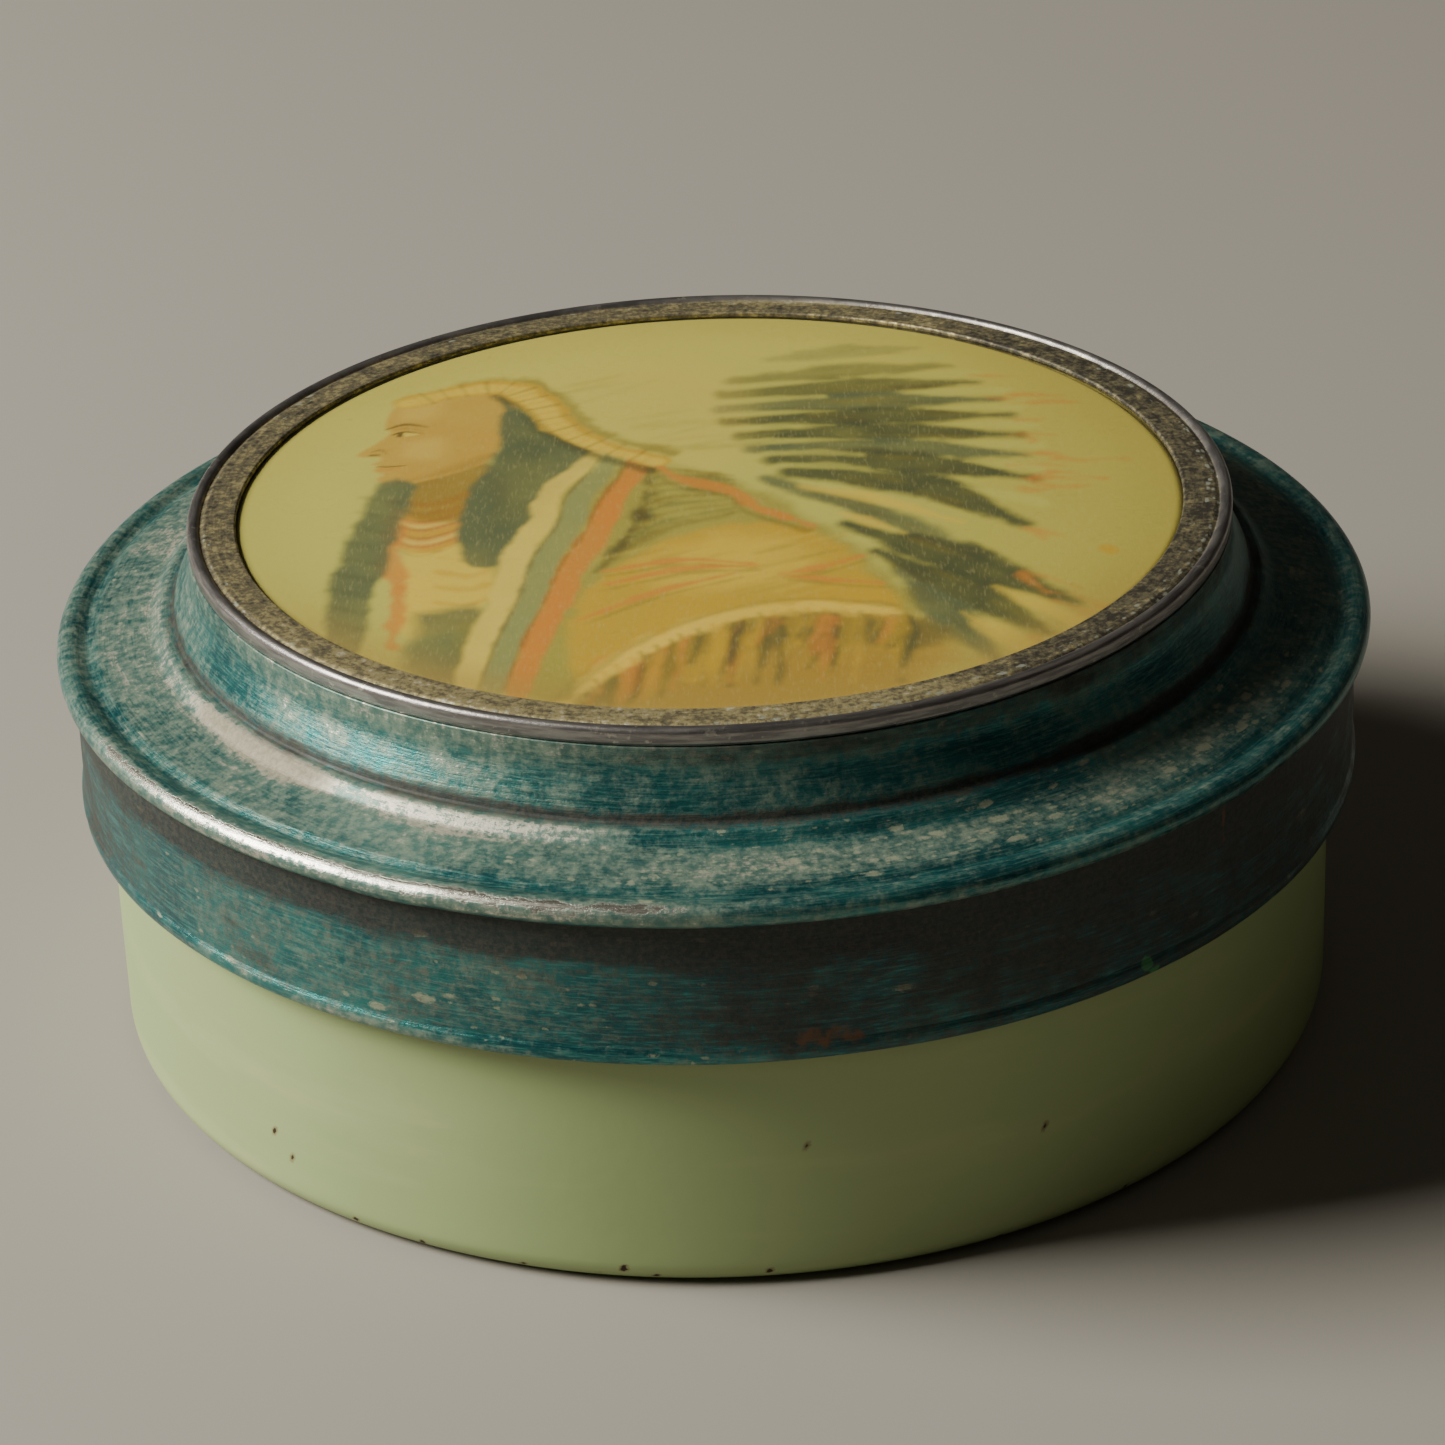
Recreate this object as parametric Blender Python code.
"""A round slip-lid powder tin, 100 mm across and 41 mm high.

A drawn tin cup holds loose powder inside a card liner, a sifter drum that stands on the liner,
and a powder puff. The lid is a stamped tin panel with a raised collar, rolled over the turned-out
top of a separate skirt band. A metal bezel in the collar clamps a picture under a clear film.

Lengths below are in millimetres and the object stands on z = 0 with its axis on Z.
"""

import math

import bmesh
import bpy

MM = 0.001
STEPS = 48  # facets round each turned piece
SMOOTH_ANGLE = math.radians(32)

# Driving dimensions
GAP = 0.3  # air left between two pieces that touch
SHEET = 0.4  # tinplate of the cup and the bezel
THIN_SHEET = 0.35  # tinplate of the lid's panel and skirt
FILM = 0.3  # clear film over the picture
PAPER = 0.2  # printed paper
ROUND = 0.3  # small rounding of a folded or cut edge

CUP_R = 47.1
CUP_HEIGHT = 31.4
CUP_CORNER = 2.0
CUP_HEM = 2.0  # depth of the hem folded inside the mouth
MOUTH_R = 46.1

RIM_R = 50.0  # the lid's rolled rim, the widest part
RIM_CENTRE = (48.9, 31.5)
RIM_HALF_HEIGHT = 0.95
RIM_CURL = 110  # degrees the rim rolls, above and below its widest point
GROOVE = (47.7, 32.15)
FLANGE_INNER = (43.2, 33.1)
FLANGE_OUTER = (46.9, 32.5)
COLLAR_R = 39.5
COLLAR_TOP = 39.3
COLLAR_FOOT = (39.5, 37.8)  # below this the collar flares
FLARE = ((39.75, 36.5), (40.35, 35.4))
CREASE = ((40.95, 34.95), (41.1, 34.3))
SHOULDER = ((41.9, 34.05), (42.5, 33.45))

SKIRT_R = 47.8
SKIRT_BOTTOM = 19.6
SKIRT_FLANGE_R = 49.1
SKIRT_FLANGE_Z = 31.2
SKIRT_FLANGE_THICK = 0.3
SKIRT_BEAD_HEIGHT = 1.2
SKIRT_BEAD_OUT = 0.25

APERTURE_R = 35.8  # the visible picture
LIP_TOP = 40.5
LIP_OUTER_R = 38.25
LIP_GROOVE_DEPTH = 0.15
BEAD_R = 0.55
BEAD_CENTRE = (39.0, 40.15)
BEZEL_WALL_R = 38.7
BEZEL_BOTTOM = 36.6
CRIMP_R = 36.8
STACK_R = 37.9  # the largest disc that fits inside the bezel
DOME = 0.45  # how far the picture rises from its edge to its middle
DOME_RINGS = (0.65, 0.3, 0)  # where the dome is drawn, as shares of its radius
DISC_STEP = 0.35  # height of the step inside the lip
DISC_STEP_HALF_WIDTH = 0.4

LINER_R = 45.7
LINER_WALL = 1.2
LINER_TOP = 12.7
POWDER_R = 44.2
POWDER_TOP = 10.9
POWDER_SURFACE = (  # share of the radius, height above or below the powder's level
    (1, -0.4),
    (0.9, 0),
    (0.6, -0.5),
    (0.25, 0.4),
    (0, 0.6),
)

SIFTER_R = 45.8
SIFTER_INNER_R = 42.8
SIFTER_HEIGHT = 2.4
SCREEN_R = 44.5
SCREEN_THICK = 0.3
HOLE_R = 1.2
HOLE_SIDES = 8
HOLE_PITCH = 12.0
HOLE_RINGS = 3

PUFF_R = 34.0
PUFF_THICK = 6.0
BACKING_R = 31.5
BACKING_THICK = 0.8
BACKING_ROUND = 0.6
STRAP_WIDTH = 12.0
STRAP_THICK = 0.4
STRAP_STATIONS = 16
STRAP_HALF_LENGTH = 24.0
STRAP_HALF_SPAN = 19.0  # where the strap leaves the backing
STRAP_RISE = 4.9

FLOOR_TOP = SHEET + GAP
SIFTER_Z = LINER_TOP + GAP
PUFF_Z = SIFTER_Z + SIFTER_HEIGHT + GAP
BACKING_Z = PUFF_Z + PUFF_THICK + GAP
STRAP_Z = BACKING_Z + BACKING_THICK + GAP


def material(name, colour, roughness, metallic=0.0, alpha=1.0):
    """A Principled material of one colour."""
    made = bpy.data.materials.new(name)
    made.use_nodes = True
    made.diffuse_color = (*colour, alpha)
    shader = made.node_tree.nodes["Principled BSDF"]
    shader.inputs["Base Color"].default_value = (*colour, 1.0)
    shader.inputs["Roughness"].default_value = roughness
    shader.inputs["Metallic"].default_value = metallic
    shader.inputs["Alpha"].default_value = alpha
    return made


def arc(centre, radii, start, end, steps):
    """Points along an ellipse's arc, from one angle to another, in degrees."""
    points = []
    for i in range(steps + 1):
        turn = math.radians(start + (end - start) * i / steps)
        points.append(
            (
                centre[0] + radii[0] * math.cos(turn),
                centre[1] + radii[1] * math.sin(turn),
            )
        )
    return points


def offset(path, distance):
    """The path moved to its right by a distance, with mitred corners."""
    normals = []
    for (x0, y0), (x1, y1) in zip(path, path[1:]):
        length = math.hypot(x1 - x0, y1 - y0)
        normals.append(((y1 - y0) / length, (x0 - x1) / length))
    befores = [normals[0], *normals]
    afters = [*normals, normals[-1]]
    moved = []
    for (x, y), before, after in zip(path, befores, afters):
        across = (before[0] + after[0], before[1] + after[1])
        reach = 2 * distance / (across[0] ** 2 + across[1] ** 2)
        moved.append((x + reach * across[0], y + reach * across[1]))
    return moved


def dome_z(radius, edge_radius, edge_z):
    """Height of a shallow dome that meets edge_z at edge_radius."""
    return edge_z + DOME * (1 - (radius / edge_radius) ** 2)


def axis_frame(name, height):
    """An empty on the object's axis, which carries a moving body's pieces."""
    empty = bpy.data.objects.new(name, None)
    empty.location = (0, 0, height * MM)
    bpy.context.scene.collection.objects.link(empty)
    return empty


def add_piece(name, bm, base, finish, parent=None):
    """Makes an object of a bmesh in millimetres, with its origin on the axis at height base."""
    bmesh.ops.recalc_face_normals(bm, faces=bm.faces)
    bmesh.ops.translate(bm, verts=bm.verts, vec=(0, 0, -base))
    bmesh.ops.scale(bm, verts=bm.verts, vec=(MM, MM, MM))
    mesh = bpy.data.meshes.new(name)
    bm.to_mesh(mesh)
    bm.free()
    mesh.materials.append(finish)
    mesh.shade_smooth()
    mesh.set_sharp_from_angle(angle=SMOOTH_ANGLE)
    piece = bpy.data.objects.new(name, mesh)
    bpy.context.scene.collection.objects.link(piece)
    piece.location = (0, 0, base * MM)
    if parent is not None:
        piece.parent = parent
        piece.location.z -= parent.location.z
    return piece


def turned_mesh(outline):
    """Spins a closed outline of (radius, height) points round Z."""
    bm = bmesh.new()
    verts = [bm.verts.new((radius, 0, height)) for radius, height in outline]
    closed = outline[0][0] > 0 or outline[-1][0] > 0
    pairs = list(zip(verts, verts[1:]))
    if closed:
        pairs.append((verts[-1], verts[0]))
    edges = [bm.edges.new(pair) for pair in pairs]
    bmesh.ops.spin(
        bm,
        geom=verts + edges,
        cent=(0, 0, 0),
        axis=(0, 0, 1),
        angle=2 * math.pi,
        steps=STEPS,
        use_merge=True,
    )
    bmesh.ops.remove_doubles(bm, verts=bm.verts, dist=0.001)
    return bm


def turned(name, outline, finish, parent=None):
    """A piece of revolution. An outline that starts and ends at radius 0 is solid at the axis."""
    base = min(height for _, height in outline)
    return add_piece(name, turned_mesh(outline), base, finish, parent)


def cup_outline():
    """Drawn cup: flat floor, rounded corner, straight wall and a hem folded inside the mouth."""
    corner = (CUP_R - CUP_CORNER, CUP_CORNER)
    inside = CUP_CORNER - SHEET
    return [
        (0, 0),
        *arc(corner, (CUP_CORNER, CUP_CORNER), -90, 0, 3),
        (CUP_R, CUP_HEIGHT - ROUND),
        (CUP_R - ROUND, CUP_HEIGHT),
        (MOUTH_R + ROUND, CUP_HEIGHT),
        (MOUTH_R, CUP_HEIGHT - ROUND),
        (MOUTH_R, CUP_HEIGHT - CUP_HEM),
        (CUP_R - SHEET, CUP_HEIGHT - CUP_HEM - SHEET),
        *arc(corner, (inside, inside), 0, -90, 2),
        (0, SHEET),
    ]


def liner_outline():
    """Plain card band that keeps the powder off the wall and holds the sifter up."""
    inner = LINER_R - LINER_WALL
    return [
        (inner, FLOOR_TOP),
        (LINER_R, FLOOR_TOP),
        (LINER_R, LINER_TOP),
        (inner, LINER_TOP),
    ]


def powder_outline():
    """Loose powder, settled a little unevenly."""
    surface = [(share * POWDER_R, POWDER_TOP + rise) for share, rise in POWDER_SURFACE]
    return [(0, FLOOR_TOP), (POWDER_R, FLOOR_TOP), *surface]


def sifter_ring_outline():
    """Ring with a groove inside it that grips the screen's edge."""
    top = SIFTER_Z + SIFTER_HEIGHT
    groove_bottom = SIFTER_Z + (SIFTER_HEIGHT - SCREEN_THICK) / 2 - GAP
    groove_top = groove_bottom + SCREEN_THICK + 2 * GAP
    groove_r = SCREEN_R + GAP
    return [
        (SIFTER_INNER_R, SIFTER_Z),
        (SIFTER_R, SIFTER_Z),
        (SIFTER_R, top),
        (SIFTER_INNER_R, top),
        (SIFTER_INNER_R, groove_top),
        (groove_r, groove_top),
        (groove_r, groove_bottom),
        (SIFTER_INNER_R, groove_bottom),
    ]


def screen_outline():
    """Flat disc that the sifter's holes are punched in."""
    bottom = SIFTER_Z + (SIFTER_HEIGHT - SCREEN_THICK) / 2
    return [
        (0, bottom),
        (SCREEN_R, bottom),
        (SCREEN_R, bottom + SCREEN_THICK),
        (0, bottom + SCREEN_THICK),
    ]


def hole_places():
    """Centres of the sifter's holes, on a triangular grid."""
    places = []
    for row in range(-HOLE_RINGS, HOLE_RINGS + 1):
        for column in range(-HOLE_RINGS, HOLE_RINGS + 1):
            if abs(row + column) <= HOLE_RINGS:
                x = HOLE_PITCH * (column + row / 2)
                y = HOLE_PITCH * row * math.sqrt(3) / 2
                if math.hypot(x, y) < SIFTER_INNER_R - 2 * HOLE_R:
                    places.append((x, y))
    return places


def punch_screen(screen, finish):
    """Cuts the holes through the screen with one Boolean."""
    bm = bmesh.new()
    middle = SIFTER_Z + SIFTER_HEIGHT / 2
    for x, y in hole_places():
        made = bmesh.ops.create_cone(
            bm,
            cap_ends=True,
            segments=HOLE_SIDES,
            radius1=HOLE_R,
            radius2=HOLE_R,
            depth=4 * SCREEN_THICK,
        )
        bmesh.ops.translate(bm, verts=made["verts"], vec=(x, y, middle))
    punch = add_piece("sifter_punch", bm, middle, finish, screen.parent)
    punch.hide_render = True
    punch.display_type = "WIRE"
    cut = screen.modifiers.new("holes", "BOOLEAN")
    cut.operation = "DIFFERENCE"
    cut.solver = "EXACT"
    cut.object = punch


def puff_outline():
    """Thick soft pad with a full round edge."""
    half = PUFF_THICK / 2
    edge = (PUFF_R - half, PUFF_Z + half)
    return [
        (0, PUFF_Z),
        *arc(edge, (half, half), -90, 90, 6),
        (0, PUFF_Z + PUFF_THICK),
    ]


def backing_outline():
    """Thin cover over the puff's top."""
    top = BACKING_Z + BACKING_THICK
    return [
        (0, BACKING_Z),
        (BACKING_R, BACKING_Z),
        (BACKING_R, BACKING_Z + BACKING_THICK / 2),
        (BACKING_R - BACKING_ROUND, top),
        (0, top),
    ]


def strap_mesh():
    """Ribbon strap that arches over the puff's back, flat where it is sewn down."""
    bm = bmesh.new()
    rings = []
    for i in range(STRAP_STATIONS + 1):
        x = STRAP_HALF_LENGTH * (2 * i / STRAP_STATIONS - 1)
        share = min(1.0, abs(x) / STRAP_HALF_SPAN)
        low = STRAP_Z + STRAP_RISE * math.cos(share * math.pi / 2) ** 1.5
        corners = [
            (x, -STRAP_WIDTH / 2, low),
            (x, STRAP_WIDTH / 2, low),
            (x, STRAP_WIDTH / 2, low + STRAP_THICK),
            (x, -STRAP_WIDTH / 2, low + STRAP_THICK),
        ]
        rings.append([bm.verts.new(corner) for corner in corners])
    for ring, following in zip(rings, rings[1:]):
        for k in range(4):
            after = (k + 1) % 4
            bm.faces.new((ring[k], ring[after], following[after], following[k]))
    bm.faces.new(rings[0])
    bm.faces.new(rings[-1])
    return bm


def panel_outline():
    """Stamped lid panel: collar, crease, shoulder, sloping flange, groove and rolled rim."""
    rim_radii = (RIM_R - RIM_CENTRE[0], RIM_HALF_HEIGHT)
    inner_radii = (rim_radii[0] - THIN_SHEET, rim_radii[1] - THIN_SHEET)
    outside = [
        (COLLAR_R, COLLAR_TOP),
        COLLAR_FOOT,
        *FLARE,
        *CREASE,
        *SHOULDER,
        FLANGE_INNER,
        FLANGE_OUTER,
        GROOVE,
    ]
    rolled = arc(RIM_CENTRE, rim_radii, RIM_CURL, -RIM_CURL, 8)
    lining = arc(RIM_CENTRE, inner_radii, -RIM_CURL, RIM_CURL, 5)
    inside = offset(outside, THIN_SHEET)
    return outside + rolled + lining + inside[::-1]


def skirt_outline():
    """Skirt band: turned out at the top under the rim, with a small bead round the bottom."""
    inner = SKIRT_R - THIN_SHEET
    flange_top = SKIRT_FLANGE_Z + SKIRT_FLANGE_THICK
    half_bead = SKIRT_BEAD_HEIGHT / 2
    bead_centre = (SKIRT_R, SKIRT_BOTTOM + half_bead)
    return [
        (inner, SKIRT_BOTTOM + THIN_SHEET / 2),
        (inner + THIN_SHEET / 2, SKIRT_BOTTOM),
        *arc(bead_centre, (SKIRT_BEAD_OUT, half_bead), -90, 90, 5),
        (SKIRT_R, SKIRT_FLANGE_Z - ROUND),
        (SKIRT_R + ROUND, SKIRT_FLANGE_Z),
        (SKIRT_FLANGE_R, SKIRT_FLANGE_Z),
        (SKIRT_FLANGE_R, flange_top),
        (inner + ROUND, flange_top),
        (inner, flange_top - ROUND),
    ]


def bezel_outline():
    """Bezel: flat lip, groove and round bead on top, wall down inside the collar, crimp below."""
    wall_inner = BEZEL_WALL_R - SHEET
    bead_bottom = COLLAR_TOP + GAP
    bead_outer = BEAD_CENTRE[0] + BEAD_R
    return [
        (APERTURE_R, LIP_TOP - SHEET),
        (APERTURE_R, LIP_TOP - SHEET / 2),
        (APERTURE_R + SHEET / 2, LIP_TOP),
        (LIP_OUTER_R, LIP_TOP),
        (LIP_OUTER_R + LIP_GROOVE_DEPTH, LIP_TOP - LIP_GROOVE_DEPTH),
        *arc(BEAD_CENTRE, (BEAD_R, BEAD_R), 145, 0, 6),
        (bead_outer, bead_bottom + ROUND / 2),
        (bead_outer - ROUND / 2, bead_bottom),
        (BEZEL_WALL_R, bead_bottom),
        (BEZEL_WALL_R, BEZEL_BOTTOM + ROUND),
        (BEZEL_WALL_R - ROUND, BEZEL_BOTTOM),
        (CRIMP_R, BEZEL_BOTTOM),
        (CRIMP_R, BEZEL_BOTTOM + SHEET),
        (wall_inner, BEZEL_BOTTOM + SHEET),
        (wall_inner, LIP_TOP - SHEET),
    ]


def domed_disc(edge_r, edge_top, thick):
    """Thin disc with a flat edge under the bezel's lip, a small step and a shallow dome."""
    step_r = APERTURE_R + DISC_STEP_HALF_WIDTH
    dome_r = APERTURE_R - DISC_STEP_HALF_WIDTH
    step_top = edge_top + DISC_STEP
    upper = [(edge_r, edge_top), (step_r, edge_top), (dome_r, step_top)]
    for share in DOME_RINGS:
        radius = share * dome_r
        upper.append((radius, dome_z(radius, dome_r, step_top)))
    lower = [(radius, height - thick) for radius, height in reversed(upper)]
    return lower + upper


def collet_outline(top):
    """Flat ring that locks the picture's discs in the bezel."""
    inner = APERTURE_R - GAP
    bottom = BEZEL_BOTTOM + SHEET + GAP
    return [(inner, bottom), (STACK_R, bottom), (STACK_R, top), (inner, top)]


def build_cup():
    """The cup, its card liner and the powder, which stay put."""
    sage = material("sage_enamel", (0.42, 0.48, 0.30), 0.38)
    card = material("grey_card", (0.52, 0.45, 0.34), 0.9)
    powder = material("face_powder", (0.80, 0.62, 0.50), 0.95)
    turned("cup_body", cup_outline(), sage)
    turned("card_liner", liner_outline(), card)
    turned("powder_fill", powder_outline(), powder)


def build_sifter():
    """The sifter drum, which lifts out of the cup."""
    ring_finish = material("sifter_card", (0.70, 0.63, 0.48), 0.8)
    screen_finish = material("sifter_tin", (0.60, 0.58, 0.54), 0.4, 1.0)
    lift = axis_frame("sifter_axis", SIFTER_Z)
    turned("sifter_ring", sifter_ring_outline(), ring_finish, lift)
    screen = turned("sifter_screen", screen_outline(), screen_finish, lift)
    punch_screen(screen, screen_finish)


def build_puff():
    """The powder puff, which lifts out over the sifter."""
    pile = material("puff_velour", (0.86, 0.72, 0.66), 1.0)
    satin = material("puff_satin", (0.80, 0.55, 0.50), 0.45)
    lift = axis_frame("puff_axis", PUFF_Z)
    turned("puff_pile", puff_outline(), pile, lift)
    turned("puff_backing", backing_outline(), satin, lift)
    add_piece("puff_strap", strap_mesh(), STRAP_Z, satin, lift)


def build_lid():
    """The lid's tin panel and skirt, and the bezel with the picture's stack of discs."""
    lacquer = material("teal_lacquer", (0.03, 0.20, 0.22), 0.35, 0.8)
    dull_metal = material("bezel_metal", (0.28, 0.24, 0.17), 0.45, 0.9)
    clear = material("clear_film", (0.95, 0.93, 0.84), 0.15, 0.0, 0.25)
    paper = material("printed_paper", (0.60, 0.55, 0.26), 0.7)
    tin = material("plain_tin", (0.62, 0.61, 0.58), 0.35, 1.0)
    lift = axis_frame("lid_axis", SKIRT_BOTTOM)
    turned("lid_panel", panel_outline(), lacquer, lift)
    turned("lid_skirt", skirt_outline(), lacquer, lift)
    turned("bezel_ring", bezel_outline(), dull_metal, lift)
    film_top = LIP_TOP - SHEET - GAP
    print_top = film_top - FILM - GAP
    plate_top = print_top - PAPER - GAP
    collet_top = plate_top - THIN_SHEET - GAP
    turned("picture_film", domed_disc(STACK_R, film_top, FILM), clear, lift)
    turned("picture_print", domed_disc(STACK_R, print_top, PAPER), paper, lift)
    turned("backing_plate", domed_disc(STACK_R, plate_top, THIN_SHEET), tin, lift)
    turned("collet_ring", collet_outline(collet_top), tin, lift)


def main():
    for old in list(bpy.data.objects):
        bpy.data.objects.remove(old)
    build_cup()
    build_sifter()
    build_puff()
    build_lid()


main()
